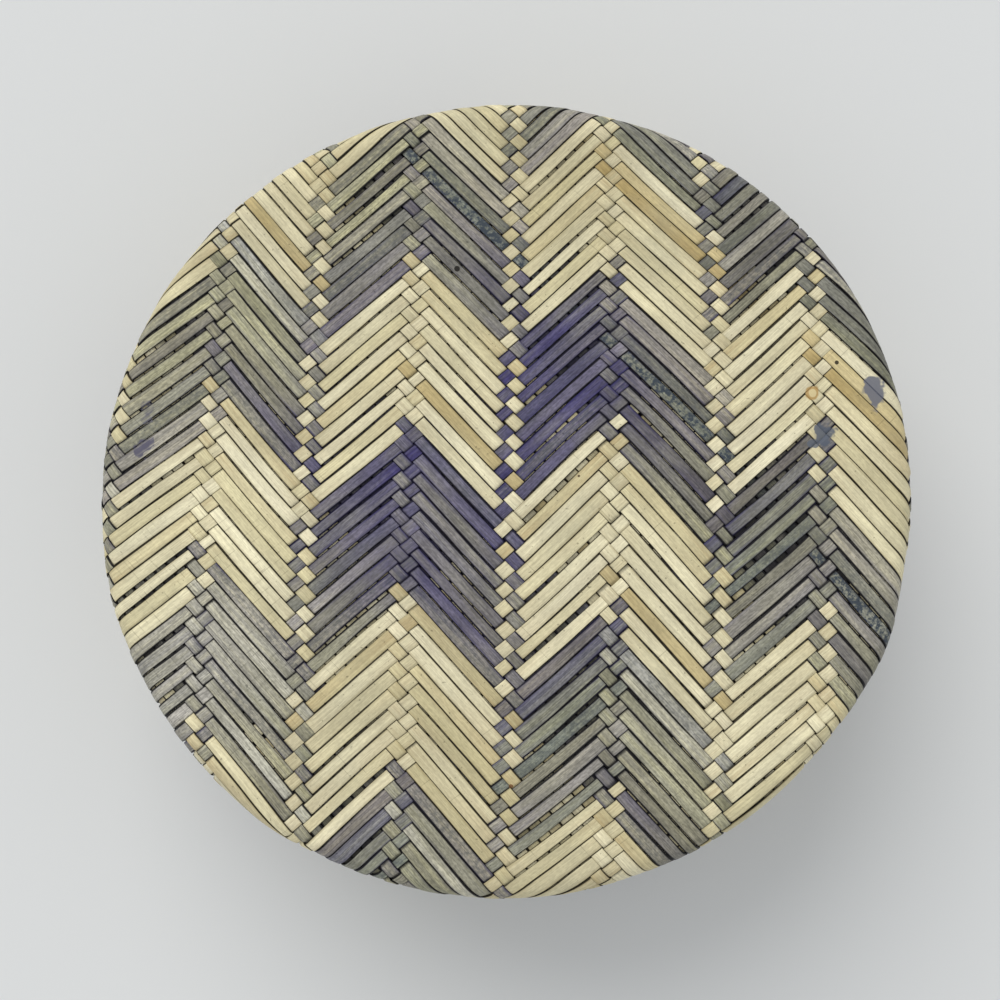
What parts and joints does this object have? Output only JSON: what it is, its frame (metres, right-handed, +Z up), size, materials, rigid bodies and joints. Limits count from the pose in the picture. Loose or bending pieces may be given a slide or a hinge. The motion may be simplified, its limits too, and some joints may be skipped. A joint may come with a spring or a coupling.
{
  "type": "lidded woven basket",
  "caption": "Round splint basket with a lift-off lid: zigzag twill top in natural and dyed splints, soft shoulder, plaited walls, lashed cane rims and a standing foot hoop.",
  "frame": {"origin": "middle of the foot hoop's underside, on the table", "axes": "+Z up through the middle of the lid, +Y towards the top edge of the picture"},
  "size_m": [0.256, 0.256, 0.0994],
  "materials": {
    "natural_splint": "satin",
    "dyed_splint": "satin",
    "lining": "matte",
    "cane": "satin",
    "lashing": "satin"
  },
  "bodies": {
    "base": {"base_floor_rising_splints": "natural_splint", "base_floor_falling_splints": "natural_splint", "base_floor_lining": "lining", "base_wall_weave": "natural_splint", "base_wall_lining": "lining", "base_rim_outer_hoop": "cane", "base_rim_inner_hoop": "cane", "base_rim_lashing": "lashing", "base_foot_outer_hoop": "cane", "base_foot_inner_hoop": "cane", "base_foot_lashing": "lashing"},
    "lid": {"lid_rising_natural_splints": "natural_splint", "lid_rising_dyed_splints": "dyed_splint", "lid_falling_natural_splints": "natural_splint", "lid_falling_dyed_splints": "dyed_splint", "lid_skirt_weave": "natural_splint", "lid_top_lining": "lining", "lid_wall_lining": "lining", "lid_shoulder_hoop": "cane", "lid_rim_outer_hoop": "cane", "lid_rim_inner_hoop": "cane", "lid_rim_lashing": "lashing"}
  },
  "joints": [
    {"name": "lid_lift", "type": "slide", "parent": "base", "child": "lid", "axis": [0, 0, 1], "range_m": [0, 0.1]}
  ]
}
